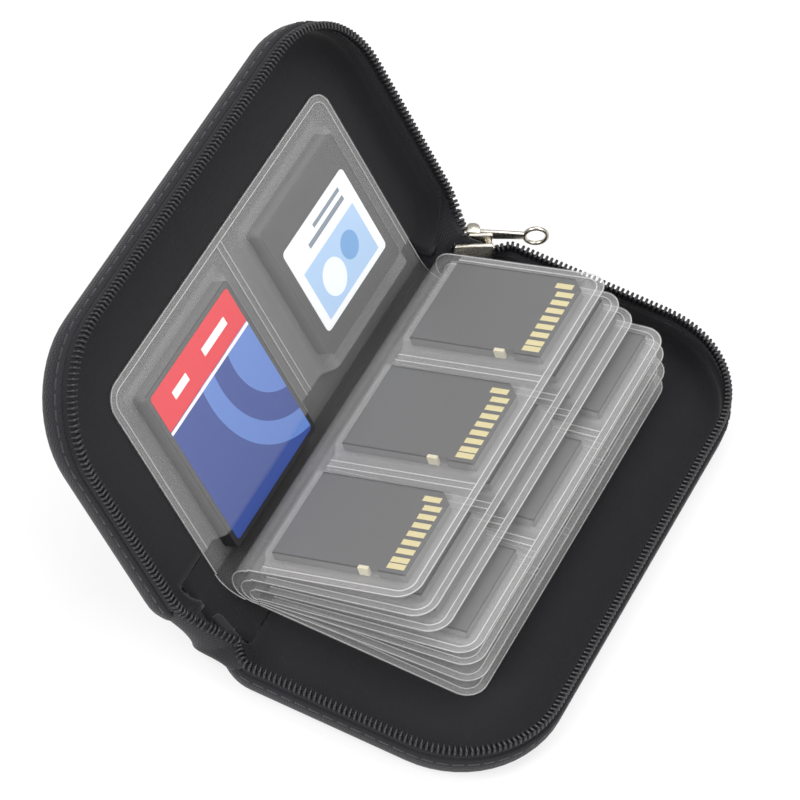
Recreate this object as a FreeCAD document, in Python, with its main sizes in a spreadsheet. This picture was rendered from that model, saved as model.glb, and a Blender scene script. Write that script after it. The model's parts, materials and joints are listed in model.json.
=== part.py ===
import FreeCAD, Part
import math
import os
import re
import Sketcher

# A zip-round wallet for memory cards: two stiff fabric covers on a soft spine, a zip round three
# sides and a sewn booklet of eight clear pocket leaves, with cards in the first five of them.
# Lengths are millimetres. X runs from the spine to the free edge of the base, Y runs along the
# spine towards the zip slider and Z is up. The origin is the middle of the face the base lies on.
# Every piece is laid out as in the closed case and then turned about its hinge to the open pose.

SIZES = (
    # The two covers and the soft spine between them
    ("case_width", 71.0, "from the line the covers fold about to the free edge"),
    ("case_thickness", 22.0, "outside thickness of the closed case"),
    ("free_corner", 24.0, "plan radius of the corners at the free edge"),
    ("spine_corner", 11.0, "plan radius of the corners at the spine"),
    ("edge_round", 5.0, "round of the outer bottom edge of a cover"),
    ("shell_wall", 2.0, "thickness of a cover's wall"),
    ("shell_floor", 1.5, "thickness of a cover's floor"),
    ("shell_height", 7.5, "height of a cover's stiff wall"),
    ("fold_setback", 0.4, "from the fold line to the stiff edge of a cover"),
    ("lining_thickness", 0.4, "fabric lining on a cover's floor"),
    ("lining_edge_gap", 0.5, "from the lining's edge to the round of the wall"),
    ("spine_fabric", 1.2, "thickness of the soft spine"),
    ("spine_lining_thickness", 0.5, "fabric lining inside the spine"),
    ("spine_end_gap", 1.0, "from the spine's end to the corner of a cover"),
    ("open_angle", 124.0, "angle that the lid is opened to, in degrees"),
    # The zip
    ("tape_inset", 0.5, "from the outside of a wall to the zip tape on it"),
    ("tape_thickness", 0.9, "thickness of the zip tape"),
    ("coil_inset", 0.2, "from the outside of a wall to the coil"),
    ("coil_width", 1.6, "width of one half of the coil"),
    ("coil_height", 1.4, "height of one half of the coil"),
    ("coil_meeting_gap", 0.15, "from a coil to the plane where the covers meet"),
    ("zip_end_angle", 15.0, "angle to the X axis where the open coils end, in degrees"),
    ("slider_angle", 27.5, "angle of the slider to the X axis, in degrees"),
    ("slider_setback", 2.6, "from the fold line to the middle of the slider"),
    ("slider_end_setback", 6.3, "from the case's end to the middle of the slider"),
    ("chain_height", 2.6, "height of the closed chain"),
    ("chain_thickness", 1.5, "thickness of the closed chain"),
    ("web_thickness", 0.6, "tape that carries the closed chain"),
    ("slider_length", 8.5, "length of the slider along the chain"),
    ("slider_height", 5.4, "width of the slider's plates"),
    ("slider_thickness", 4.2, "across both plates of the slider"),
    ("slider_clearance", 0.15, "between the slider and the chain"),
    ("slider_back_gap", 0.6, "from the stub's end to the slider at rest"),
    ("slider_post", 1.6, "post that joins the slider's two plates"),
    ("post_gap", 0.3, "from the closed chain to that post"),
    ("lug_thickness", 0.9, "each of the two lugs that hold the pull"),
    ("lug_length", 3.0, "length of a lug along the slider"),
    ("pin_radius", 0.6, "cross pin between the lugs"),
    ("pin_running_clearance", 0.05, "between the pin and the pull's eye"),
    ("pull_length", 17.0, "from the cross pin to the far end of the pull"),
    ("pull_thickness", 1.0, "thickness of the pull's plate"),
    ("pull_width", 2.6, "width of the pull's plate and of its eye"),
    ("pull_ring_outer", 3.0, "outside radius of the ring at the pull's end"),
    ("pull_ring_hole", 2.0, "radius of the hole in the ring"),
    ("pull_eye_radius", 1.3, "outside radius of the eye on the pin"),
    ("pull_side_gap", 0.15, "between the eye and each lug"),
    ("end_tab_length", 9.0, "folded tab over the zip's other end"),
    ("end_tab_height", 4.0, "height of that tab above the wall"),
    ("end_tab_thickness", 2.4, "thickness of that tab"),
    # The booklet of leaves
    ("film", 0.2, "thickness of the clear film"),
    ("booklet_shift", 4.6, "from the middle of the case to the middle of the booklet"),
    ("booklet_end_gap", 0.5, "between the booklet and a cover's corner at the spine"),
    ("pocket_side_room", 4.3, "from a small card's side to the edge of its share of the leaf"),
    ("leaf_corner", 5.0, "radius of a leaf's corners at its free edge"),
    ("leaf_gap", 0.1, "between one closed leaf and the next"),
    ("lower_leaf_width", 50.5, "width of leaves 5 to 8 beyond their fold"),
    ("upper_leaf_width", 40.0, "width of leaf 2 beyond its fold"),
    ("upper_leaf_step", 2.2, "what leaves 3 and 4 each add to that"),
    ("first_leaf_width", 50.5, "width of leaf 1 from the fold line"),
    ("outer_sheet_inset", 0.6, "from the fold line to leaf 8, the other half of leaf 1"),
    ("weld", 3.0, "width of the welded seams between empty pockets"),
    ("pocket_slope", 32.0, "slope of the film beside a card, from the upright, in degrees"),
    ("pocket_play", 0.3, "between a card's sides and the film over it"),
    ("mouth_setback", 3.0, "from a leaf's inner edge to its pocket mouths"),
    ("first_mouth_setback", 6.0, "the same on leaf 1"),
    ("empty_pocket", 0.1, "depth of a pocket with nothing in it"),
    ("card_play", 0.05, "room in a pocket above its card"),
    ("card_seat_gap", 0.05, "between a card and the film under it"),
    ("fold_centre", 1.5, "from the fold line to the middle of the booklet's folds"),
    ("fold_lean", 21.0, "lean of the folds towards the lid, in degrees"),
    ("fold_end_gap", 0.3, "between a fold and the leaves it joins"),
    ("fold_lift", 0.2, "from a lower leaf's film to the end of its fold"),
    ("stitch_radius", 0.3, "thread that sews the folds together"),
    ("stitch_length", 4.0, "length of one stitch"),
    ("stitch_pitch", 7.0, "spacing of the stitches"),
    ("stitch_gap", 0.1, "between a stitch and the fold it lies on"),
    ("leaf_2_angle", 22.0, "angle between open leaf 2 and the base, in degrees"),
    ("leaf_3_angle", 18.6, "the same for leaf 3"),
    ("leaf_4_angle", 17.0, "the same for leaf 4"),
    ("leaf_5_angle", 15.0, "the same for leaf 5"),
    ("leaf_6_angle", 11.2, "the same for leaf 6"),
    ("leaf_7_angle", 5.6, "the same for leaf 7"),
    ("leaf_8_angle", 0.2, "the same for leaf 8"),
    # The cards
    ("small_card_length", 32.0, "small card across the leaf"),
    ("small_card_width", 24.0, "small card along the spine"),
    ("small_card_thickness", 2.1, ""),
    ("small_card_chamfer", 3.0, "cut corner of a small card"),
    ("small_card_margin", 3.5, "from a small card to the leaf's free edge"),
    ("contact_length", 4.2, "gold contact across the leaf"),
    ("contact_width", 1.5, "gold contact along the spine"),
    ("contact_thickness", 0.1, ""),
    ("contact_end_pitch", 1.8, "spacing of the last two contacts"),
    ("contact_first", 2.6, "from the cut side to the first contact's middle"),
    ("contact_last", 2.1, "from the other side to the last contact's middle"),
    ("contact_inset", 1.0, "from the card's end to the contacts"),
    ("contact_first_inset", 2.2, "the same for the first contact"),
    ("lock_notch_length", 5.0, "notch for the lock tab in the card's side"),
    ("lock_notch_depth", 0.9, ""),
    ("lock_notch_inset", 6.5, "from the card's end to the notch"),
    ("lock_tab_length", 2.4, ""),
    ("lock_tab_gap", 0.1, "between the lock tab and its notch"),
    ("wide_card_length", 42.8, "wide card across the leaf"),
    ("wide_card_width", 36.4, "wide card along the spine"),
    ("wide_card_thickness", 3.3, ""),
    ("wide_card_start", 1.5, "from the fold line to the wide card"),
    ("wide_card_corner", 0.9, "radius of its corners"),
    ("square_card_length", 35.0, "square card across the leaf"),
    ("square_card_width", 33.0, "square card along the spine"),
    ("square_card_thickness", 3.8, ""),
    ("square_card_start", 8.9, "from the fold line to the square card"),
    ("square_card_corner", 1.2, "radius of its corners"),
    ("label_thickness", 0.08, "paper label on a card"),
    ("wide_label_inset", 1.2, "from a wide card's edge to its label"),
    ("square_label_length", 22.5, "label across the leaf"),
    ("square_label_width", 28.0, "label along the spine"),
    ("square_label_inset", 4.5, "from the square card's inner end to its label"),
    # One length that carries every cut past the face it opens
    ("overrun", 1.0, "overrun of a cut"),
)

SMALL_POCKETS = 3
LARGE_POCKETS = 2
LOADED_LEAF_COUNT = 4
CONTACTS = 9

# A leaf is as long as its row of small pockets, and the booklet fits between the spine's corners. The
# contacts are spread between the two sides of a card.
DERIVED = {
    "case_length": "( leaf_length + 2 * ( booklet_shift + booklet_end_gap + spine_corner ) )",
    "leaf_length": "( %d * ( small_card_width + 2 * pocket_side_room ) )" % SMALL_POCKETS,
    "contact_pitch": "( ( small_card_width - contact_first - contact_last - contact_end_pitch ) / %d )"
                     % (CONTACTS - 2),
}

doc = FreeCAD.newDocument("card_case")
dims = doc.addObject("Spreadsheet::Sheet", "dims")
for row, (alias, size, note) in enumerate(SIZES, start=1):
    dims.set("A%d" % row, alias)
    dims.set("B%d" % row, str(size))
    dims.set("C%d" % row, note)
    dims.setAlias("B%d" % row, alias)
doc.recompute()

nodes = []


def bind(expression):
    """Writes out the derived lengths and puts the sheet's name before each size."""
    for name, meaning in DERIVED.items():
        expression = re.sub(r"\b%s\b" % name, meaning, expression)
    return re.sub(r"(?!sin|cos|tan)\b[a-z]\w*", r"dims.\g<0>", expression)


def num(expression):
    """The value of an expression in the sheet's sizes."""
    return float(dims.evalExpression(bind(expression)))


def turn(axis_x, axis_z, angle):
    """A turn about a line along Y; a positive angle lifts the free edge."""
    at = FreeCAD.Vector(axis_x, 0, axis_z)
    about = FreeCAD.Rotation(FreeCAD.Vector(0, 1, 0), -angle)
    return FreeCAD.Placement(FreeCAD.Vector(0, 0, 0), about, at)


def move(x, y, z):
    return FreeCAD.Placement(FreeCAD.Vector(x, y, z), FreeCAD.Rotation())


def keep(feature, label, place):
    """Names a finished piece, sets it in place and lists it for the export."""
    feature.Label = label
    feature.Placement = place
    nodes.append(feature)
    return feature


def origin_part(body, role):
    return [part for part in body.Origin.OriginFeatures if part.Role == role][0]


def new_body(name):
    body = doc.addObject("PartDesign::Body", name)
    body.AllowCompound = True
    return body


def rectangle(body, name, low, size, lift="0"):
    """A rectangle sketch on the body's ground plane; low is its lower left corner."""
    sketch = body.newObject("Sketcher::SketchObject", name)
    sketch.AttachmentSupport = [(origin_part(body, "XY_Plane"), "")]
    sketch.MapMode = "FlatFace"
    for axis, expression in zip("xyz", (low[0], low[1], lift)):
        sketch.setExpression(".AttachmentOffset.Base." + axis, bind(expression))
    wide = num(size[0])
    deep = num(size[1])
    corners = [(0, 0), (wide, 0), (wide, deep), (0, deep)]
    for side in range(4):
        start = FreeCAD.Vector(*corners[side])
        end = FreeCAD.Vector(*corners[(side + 1) % 4])
        sketch.addGeometry(Part.LineSegment(start, end))
    for side in range(4):
        sketch.addConstraint(Sketcher.Constraint("Coincident", side, 2, (side + 1) % 4, 1))
    for side in (0, 2):
        sketch.addConstraint(Sketcher.Constraint("Horizontal", side))
        sketch.addConstraint(Sketcher.Constraint("Vertical", side + 1))
    sketch.addConstraint(Sketcher.Constraint("Coincident", 0, 1, -1, 1))
    across = sketch.addConstraint(Sketcher.Constraint("DistanceX", 0, 1, 0, 2, wide))
    along = sketch.addConstraint(Sketcher.Constraint("DistanceY", 1, 1, 1, 2, deep))
    sketch.setExpression("Constraints[%d]" % across, bind(size[0]))
    sketch.setExpression("Constraints[%d]" % along, bind(size[1]))
    return sketch


def circle(body, name, radius, middle=("0", "0"), plane="XY_Plane"):
    """A circle sketch on one of the body's origin planes."""
    sketch = body.newObject("Sketcher::SketchObject", name)
    sketch.AttachmentSupport = [(origin_part(body, plane), "")]
    sketch.MapMode = "FlatFace"
    for axis, expression in zip("xy", middle):
        sketch.setExpression(".AttachmentOffset.Base." + axis, bind(expression))
    up = FreeCAD.Vector(0, 0, 1)
    sketch.addGeometry(Part.Circle(FreeCAD.Vector(0, 0, 0), up, num(radius)))
    sketch.addConstraint(Sketcher.Constraint("Coincident", 0, 3, -1, 1))
    size = sketch.addConstraint(Sketcher.Constraint("Radius", 0, num(radius)))
    sketch.setExpression("Constraints[%d]" % size, bind(radius))
    return sketch


def pad(body, sketch, height, both_sides=False, slope="0"):
    """A pad whose sides lean inwards by a slope in degrees."""
    feature = body.newObject("PartDesign::Pad", sketch.Name + "_pad")
    feature.Profile = sketch
    feature.setExpression("Length", bind(height))
    feature.setExpression("TaperAngle", bind("0 - " + slope))
    feature.Midplane = both_sides
    doc.recompute()
    return feature


def cut_up(body, sketch, depth, slope="0"):
    """A pocket from the sketch towards +Z, whose sides lean inwards by a slope in degrees."""
    before = body.Shape.Volume
    feature = body.newObject("PartDesign::Pocket", sketch.Name + "_cut")
    feature.Profile = sketch
    feature.Reversed = True
    feature.setExpression("Length", bind(depth))
    feature.setExpression("TaperAngle", bind("0 - " + slope))
    doc.recompute()
    if body.Shape.Volume >= before:
        raise RuntimeError(sketch.Name + " cuts nothing")
    return feature


def corner_edges(feature, test):
    """Names of a feature's upright edges whose place passes a test."""
    found = []
    for number, edge in enumerate(feature.Shape.Edges, start=1):
        box = edge.BoundBox
        upright = box.XLength + box.YLength < 1e-6 * box.ZLength
        if upright and test(edge.CenterOfMass):
            found.append("Edge%d" % number)
    return found


def round_corners(body, feature, radius, test, kind="PartDesign::Fillet"):
    """Rounds, or with a chamfer cuts, the upright edges that pass a test."""
    dressed = body.newObject(kind, body.Name + "_corners")
    dressed.Base = (feature, corner_edges(feature, test))
    size_name = "Radius" if kind == "PartDesign::Fillet" else "Size"
    dressed.setExpression(size_name, bind(radius))
    doc.recompute()
    return dressed


def plate(label, low, size, height, place, radius=None, test=None):
    """A flat plate with some of its corners rounded."""
    body = new_body(label)
    feature = pad(body, rectangle(body, label + "_outline", low, size), height)
    if radius:
        round_corners(body, feature, radius, test)
    return keep(body, label, place)


# The whole part is moved so that the middle of the base's underside is the origin. The covers fold
# about one line inside the spine, half way up the closed case.
base_middle = num("( case_width + fold_setback ) / 2")
base_place = move(-base_middle, 0, 0)
half_thickness = num("case_thickness / 2")
open_angle = num("open_angle")
flip = FreeCAD.Placement(
    FreeCAD.Vector(0, 0, 0),
    FreeCAD.Rotation(FreeCAD.Vector(1, 0, 0), 180),
    FreeCAD.Vector(0, 0, half_thickness),
)
lid_place = base_place * turn(0, half_thickness, open_angle) * flip
spine_length = "case_length - 2 * spine_corner - 2 * spine_end_gap"


def slab(name, inset, lift, height, bottom_round=None):
    """The plan outline of a cover, drawn in by an inset and given a height."""
    body = new_body(name)
    low = ("fold_setback + " + inset, "0 - case_length / 2 + " + inset)
    size = ("case_width - fold_setback - 2 * " + inset, "case_length - 2 * " + inset)
    feature = pad(body, rectangle(body, name + "_outline", low, size, lift), height)
    middle = base_middle
    feature = round_corners(body, feature, "spine_corner - " + inset, lambda at: at.x < middle)
    feature = round_corners(body, feature, "free_corner - " + inset, lambda at: at.x > middle)
    if bottom_round:
        floor = feature.Shape.BoundBox.ZMin
        flat = [edge.BoundBox.ZMax - floor < 1e-6 * num("case_width") for edge in feature.Shape.Edges]
        names = ["Edge%d" % (number + 1) for number, low_edge in enumerate(flat) if low_edge]
        rounded = body.newObject("PartDesign::Fillet", name + "_bottom")
        rounded.Base = (feature, names)
        rounded.setExpression("Radius", bind(bottom_round))
        doc.recompute()
    return body


def block(name, low, size, lift, height):
    body = new_body(name)
    pad(body, rectangle(body, name + "_outline", low, size, lift), height)
    return body


def join(name, solids):
    feature = doc.addObject("Part::MultiFuse", name)
    feature.Shapes = solids
    doc.recompute()
    return feature


def cut(name, solid, tools):
    """A solid less the tools."""
    feature = doc.addObject("Part::Cut", name)
    feature.Base = solid
    feature.Tool = join(name + "_tools", tools) if len(tools) > 1 else tools[0]
    doc.recompute()
    return feature


# Each cover is stiff fabric over foam board: a flat panel with a rounded edge and a low wall on it.
# The wall is open along the spine between its two corners, where a tongue of the panel's fabric
# runs on to the spine. A thin fabric lining lies on the panel.
def cover(side, place):
    low = ("0 - overrun", "0 - case_length / 2 - overrun")
    size = ("case_width + 2 * overrun", "case_length + 2 * overrun")
    foot = slab(side + "_foot", "0", "0", "shell_height", "edge_round")
    above = block(side + "_above", low, size, "shell_floor", "shell_height")
    tongue_low = ("fold_setback", "0 - ( " + spine_length + " ) / 2")
    tongue = block(side + "_tongue", tongue_low, ("2 * edge_round", spine_length), "0", "spine_fabric")
    sliced = cut(side + "_slice", foot, [above])
    keep(join(side + "_panel", [sliced, tongue]), side + "_panel", place)
    outer = slab(side + "_outer", "0", "0", "shell_height", "edge_round")
    core = slab(side + "_core", "shell_wall", "shell_floor", "shell_height", "edge_round - shell_wall")
    mouth_low = ("0 - overrun", "0 - case_length / 2 + spine_corner")
    mouth_size = ("fold_setback + edge_round + overrun", "case_length - 2 * spine_corner")
    mouth = block(side + "_mouth", mouth_low, mouth_size, "shell_floor", "shell_height")
    below = block(side + "_below", low, size, "0 - overrun", "shell_floor + overrun")
    keep(cut(side + "_wall", outer, [core, mouth, below]), side + "_wall", place)
    lining = slab(side + "_lining", "( edge_round + lining_edge_gap )", "shell_floor", "lining_thickness")
    keep(lining, side + "_lining", place)


cover("base", base_place)
cover("lid", lid_place)

# The zip tape stands on each wall and carries one half of the coil along its upper edge. Both stop
# where the straight ends of the zip leave the rounded corners at the spine.
coil_base = "( case_thickness / 2 - coil_meeting_gap - coil_height )"
zip_radius = "( spine_corner - coil_inset - coil_width / 2 )"
zip_start_x = "fold_setback + spine_corner - " + zip_radius + " * sin(zip_end_angle)"


def zip_ring(label, inset, thickness, lift, height, place):
    outer = slab(label + "_outer", inset, lift, height)
    core = slab(label + "_core", "( " + inset + " + " + thickness + " )", lift, height)
    start = block(label + "_start", ("0", "0 - case_length / 2"), (zip_start_x, "case_length"), lift, height)
    keep(cut(label, outer, [core, start]), label, place)


for side, place in (("base", base_place), ("lid", lid_place)):
    tape_height = coil_base + " - shell_height"
    zip_ring(side + "_zip_tape", "tape_inset", "tape_thickness", "shell_height", tape_height, place)
    zip_ring(side + "_zip_coil", "coil_inset", "coil_width", coil_base, "coil_height", place)

# At the slider's end both coils close into a short straight stub of chain on its own web of tape,
# which stands on the corner of the base. In its frame the slider's middle is the origin, X runs
# along the chain, Y runs down and Z points out.
along = FreeCAD.Vector(num("cos(slider_angle)"), num("sin(slider_angle)"), 0)
down = FreeCAD.Vector(0, 0, -1)
zip_place = base_place * FreeCAD.Placement(
    FreeCAD.Vector(num("slider_setback"), num("case_length / 2 - slider_end_setback"), half_thickness),
    FreeCAD.Rotation(along, down, along.cross(down), "XYZ"),
)
tail_end = "0 - slider_length / 2 - slider_back_gap"
tail_length = "slider_length + slider_back_gap - slider_post - post_gap"

tail = new_body("zip_tail")
chain = rectangle(tail, "chain", (tail_end, "0 - chain_height / 2"), (tail_length, "chain_height"))
pad(tail, chain, "chain_thickness", both_sides=True)
web_height = "case_thickness / 2 - shell_height"
web = rectangle(tail, "web", (tail_end, "0"), (tail_length, web_height))
pad(tail, web, "web_thickness", both_sides=True)
keep(tail, "zip_tail", zip_place)

# The slider is two plates joined by a post that parts the coils. Two lugs on its outer plate hold
# the cross pin, and the flat pull swings on that pin.
slider = new_body("zip_slider")
sketch = rectangle(slider, "plates", ("0", "0 - slider_height / 2"), ("slider_length", "slider_height"))
pad(slider, sketch, "slider_thickness", both_sides=True)
slot = "( chain_thickness + 2 * slider_clearance )"
slot_level = "0 - " + slot + " / 2"
slot_low = ("0 - overrun", "0 - slider_height / 2 - overrun")
slot_size = ("slider_length - slider_post + overrun", "slider_height + 2 * overrun")
cut_up(slider, rectangle(slider, "slot", slot_low, slot_size, slot_level), slot)
way_start = "slider_length - slider_post"
way_size = ("slider_post + overrun", "slider_height / 2 - slider_post / 2 + overrun")
for name, low_y in (("upper_way", slot_low[1]), ("lower_way", "slider_post / 2")):
    cut_up(slider, rectangle(slider, name, (way_start, low_y), way_size, slot_level), slot)
lug_gap = "( pull_width + 2 * pull_side_gap )"
lug_start = "( slider_length / 2 - lug_length / 2 )"
pin_height = "( slider_thickness / 2 + pull_eye_radius + slider_clearance )"
lug_top = "pull_eye_radius + slider_clearance + 2 * pin_radius"
lug_sides = (("lower_lug", lug_gap + " / 2"), ("upper_lug", "0 - " + lug_gap + " / 2 - lug_thickness"))
for name, low_y in lug_sides:
    lug = rectangle(slider, name, (lug_start, low_y), ("lug_length", "lug_thickness"), "slider_thickness / 2")
    pad(slider, lug, lug_top)
pin = circle(slider, "pin", "pin_radius", ("slider_length / 2", pin_height), "XZ_Plane")
pad(slider, pin, lug_gap + " + lug_thickness", both_sides=True)
slider_place = zip_place * move(num("0 - slider_length / 2"), 0, 0)
keep(slider, "zip_slider", slider_place)

pull = new_body("zip_pull")
strip = rectangle(pull, "strip", ("0", "0 - pull_width / 2"), ("pull_length - pull_ring_outer", "pull_width"))
pad(pull, strip, "pull_thickness", both_sides=True)
ring_middle = ("pull_length - pull_ring_outer", "0")
pad(pull, circle(pull, "ring", "pull_ring_outer", ring_middle), "pull_thickness", both_sides=True)
pad(pull, circle(pull, "eye", "pull_eye_radius", plane="XZ_Plane"), "pull_width", both_sides=True)
for name, radius, middle, plane in (
    ("ring_hole", "pull_ring_hole", ring_middle, "XY_Plane"),
    ("eye_hole", "pin_radius + pin_running_clearance", ("0", "0"), "XZ_Plane"),
):
    before = pull.Shape.Volume
    hole = pull.newObject("PartDesign::Pocket", name + "_cut")
    hole.Profile = circle(pull, name, radius, middle, plane)
    hole.Type = "ThroughAll"
    hole.Midplane = True
    doc.recompute()
    if pull.Shape.Volume >= before:
        raise RuntimeError(name + " cuts nothing")
keep(pull, "zip_pull", slider_place * move(num("slider_length / 2"), 0, num(pin_height)))

# A folded fabric tab covers the other end of the zip, on the wall at the far end of the spine.
tab_place = base_place * FreeCAD.Placement(
    FreeCAD.Vector(num("slider_setback"), num("slider_end_setback - case_length / 2"), num("shell_height")),
    FreeCAD.Rotation(FreeCAD.Vector(0, 0, 1), -num("slider_angle")),
)
tab_low = ("0 - end_tab_length / 2", "0 - end_tab_thickness / 2")
plate("zip_end_tab", tab_low, ("end_tab_length", "end_tab_thickness"), "end_tab_height", tab_place)


# The soft spine, its lining and the outer sheet of the booklet bend round the line that the covers
# fold about, from the base to the lid.
def arc_strip(label, inner_radius, thickness, length, sweep, place):
    body = new_body(label)
    low = (inner_radius, "0 - ( " + length + " ) / 2")
    sketch = rectangle(body, label + "_section", low, (thickness, length))
    feature = body.newObject("PartDesign::Revolution", label + "_bend")
    feature.Profile = sketch
    feature.ReferenceAxis = (origin_part(body, "Y_Axis"), [""])
    feature.setExpression("Angle", bind(sweep))
    doc.recompute()
    return keep(body, label, place)


def turned(x, y, z, angle):
    """A place whose X axis points the given angle below the horizontal."""
    about = FreeCAD.Rotation(FreeCAD.Vector(0, 1, 0), angle)
    return base_place * FreeCAD.Placement(FreeCAD.Vector(x, y, z), about)


first_level = "( shell_floor + lining_thickness + leaf_gap )"
closing_sweep = "180 - open_angle"
booklet_y = num("booklet_shift")
straight_down = turned(0, 0, half_thickness, 90)
spine_inside = "case_thickness / 2 - spine_fabric"
arc_strip("spine_panel", spine_inside, "spine_fabric", spine_length, closing_sweep, straight_down)
arc_strip("spine_lining", spine_inside + " - spine_lining_thickness", "spine_lining_thickness", spine_length,
          closing_sweep, straight_down)
arc_strip("outer_sheet_fold", "case_thickness / 2 - " + first_level + " - film", "film", "leaf_length",
          closing_sweep, turned(0, booklet_y, half_thickness, 90))

# Four folded sheets make the eight leaves. Leaf 1 lies on the lid, and leaves 2 to 8 are stacked on
# the base, each at the level that it has in the closed case. The inner folds lean towards the lid.
loaded_leaves = list(range(2, 2 + LOADED_LEAF_COUNT))
small_pocket = "( small_card_thickness + card_play + card_seat_gap )"
levels = {}
level = first_level
for leaf in range(8, 1, -1):
    levels[leaf] = "( " + level + " )"
    pocket = small_pocket if leaf in loaded_leaves else "empty_pocket"
    level = level + " + 2 * film + " + pocket + " + leaf_gap"
fold_level = "( ( " + levels[2] + " + " + levels[7] + " ) / 2 )"


def fold_x(height):
    """Where the leaning line of the folds passes a height."""
    return "( fold_centre - ( " + height + " - " + fold_level + " ) * tan(fold_lean) )"


lean = math.radians(num("fold_lean"))
for sheet in range(2, 5):
    upper = levels[sheet]
    lower = "( " + levels[9 - sheet] + " + fold_lift )"
    middle = "( ( " + upper + " + " + lower + " + film ) / 2 )"
    radius = "( " + upper + " - " + lower + " ) / ( 2 * cos(fold_lean) )"
    x = num(fold_x(middle)) - num("fold_end_gap") * math.cos(lean)
    z = num(middle) - num("fold_end_gap") * math.sin(lean)
    place = turned(x, booklet_y, z, num("90 - fold_lean"))
    arc_strip("sheet_%d_fold" % sheet, radius + " - film / 2", "film", "leaf_length", "180", place)

# A row of stitches lies in the innermost fold, which is the last one made, and sews the sheets together.
reach = num(radius + " - film / 2 - stitch_gap - stitch_radius")
stitch_x = x - reach * math.cos(lean)
stitch_z = z - reach * math.sin(lean)
stitches = new_body("binding_stitches")
stitch_count = int(num("leaf_length / stitch_pitch"))
stitch = circle(stitches, "stitch", "stitch_radius", plane="XZ_Plane")
stitch = pad(stitches, stitch, "stitch_length", both_sides=True)
row = stitches.newObject("PartDesign::LinearPattern", "stitch_row")
row.Originals = [stitch]
row.Direction = (origin_part(stitches, "Y_Axis"), [""])
row.setExpression("Length", bind("stitch_pitch") + " * %d" % (stitch_count - 1))
row.Occurrences = stitch_count
stitches.Tip = row
doc.recompute()
row_start = booklet_y - num("stitch_pitch") * (stitch_count - 1) / 2
keep(stitches, "binding_stitches", base_place * move(stitch_x, row_start, stitch_z))


# A leaf is a plain back film and a front film that is welded to it round each pocket. The front film
# stands over each card like a tent with sloping sides, and the pockets open towards the spine. In a
# leaf's frame X runs from its fold to its free edge and Z is up.
def leaf_films(leaf, place, width, mouth, pockets):
    """Both films of a leaf; a pocket is the middle, half width, far end and depth of what it holds."""
    name = "leaf_%d" % leaf
    middle = num(width) / 2
    low = ("0", "0 - leaf_length / 2")
    size = (width, "leaf_length")
    plate(name + "_back_film", low, size, "film", place, "leaf_corner", lambda at: at.x > middle)
    front = new_body(name + "_front_film")
    feature = pad(front, rectangle(front, name + "_front", low, size), "film")
    round_corners(front, feature, "leaf_corner", lambda at: at.x > middle)
    for number, (across, half, end, depth) in enumerate(pockets, start=1):
        label = "%s_pocket_%d" % (name, number)
        room = "( pocket_play + ( " + depth + " ) * tan(pocket_slope) )"
        skin = "film / cos(pocket_slope)"
        inside_low = ("0 - overrun", across + " - ( " + half + " ) - " + room)
        inside_size = (end + " + " + room + " + overrun", "2 * ( " + half + " + " + room + " )")
        tent_low = ("0", inside_low[1] + " - " + skin)
        tent_size = (end + " + " + room + " + " + skin, inside_size[1] + " + 2 * " + skin)
        tent = rectangle(front, label + "_tent", tent_low, tent_size)
        pad(front, tent, depth + " + film", slope="pocket_slope")
        cut_up(front, rectangle(front, label + "_inside", inside_low, inside_size), depth, "pocket_slope")
    mouth_low = ("0 - overrun", "0 - leaf_length / 2 - overrun")
    mouth_size = (mouth + " + overrun", "leaf_length + 2 * overrun")
    deepest = max((depth for across, half, end, depth in pockets), key=num)
    cut_up(front, rectangle(front, name + "_mouth", mouth_low, mouth_size), deepest + " + film + overrun")
    keep(front, name + "_front_film", place * move(0, 0, num("film")))


def share_middle(pocket, pockets):
    """The middle of one pocket's share of a leaf."""
    return "( leaf_length * ( %d + 1 / 2 ) / %d - leaf_length / 2 )" % (pocket, pockets)


def empty_pockets(width, count):
    half = "( leaf_length / %d - weld ) / 2 - pocket_play" % count
    end = width + " - weld"
    return [(share_middle(pocket, count), half, end, "empty_pocket") for pocket in range(count)]


leaf_places = {1: lid_place * move(0, -booklet_y, num(first_level))}
leaf_widths = {1: "first_leaf_width", 2: "upper_leaf_width"}
leaf_widths[3] = "( upper_leaf_width + upper_leaf_step )"
leaf_widths[4] = "( upper_leaf_width + 2 * upper_leaf_step )"
for leaf in range(2, 9):
    x = num("outer_sheet_inset") if leaf == 8 else num(fold_x(levels[leaf]))
    fan = turn(0, 0, num("leaf_%d_angle" % leaf))
    leaf_places[leaf] = base_place * move(x, booklet_y, num(levels[leaf])) * fan
label_room = " + label_thickness + card_play + card_seat_gap"
leaf_films(1, leaf_places[1], leaf_widths[1], "first_mouth_setback", [
    ("leaf_length / 4", "wide_card_width / 2", "wide_card_start + wide_card_length",
     "wide_card_thickness" + label_room),
    ("0 - leaf_length / 4", "square_card_width / 2", "square_card_start + square_card_length",
     "square_card_thickness" + label_room),
])
for leaf in range(2, 8):
    width = leaf_widths.setdefault(leaf, "lower_leaf_width")
    pockets = empty_pockets(width, SMALL_POCKETS)
    if leaf in loaded_leaves:
        end = width + " - small_card_margin"
        pockets = [(middle, "small_card_width / 2", end, small_pocket) for middle, *empty in pockets]
    leaf_films(leaf, leaf_places[leaf], width, "mouth_setback", pockets)
last_start = "( " + fold_x(levels[7]) + " - outer_sheet_inset )"
last_width = "( lower_leaf_width + " + last_start + " )"
last_mouth = last_start + " + mouth_setback"
leaf_films(8, leaf_places[8], last_width, last_mouth, empty_pockets(last_width, LARGE_POCKETS))


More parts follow.
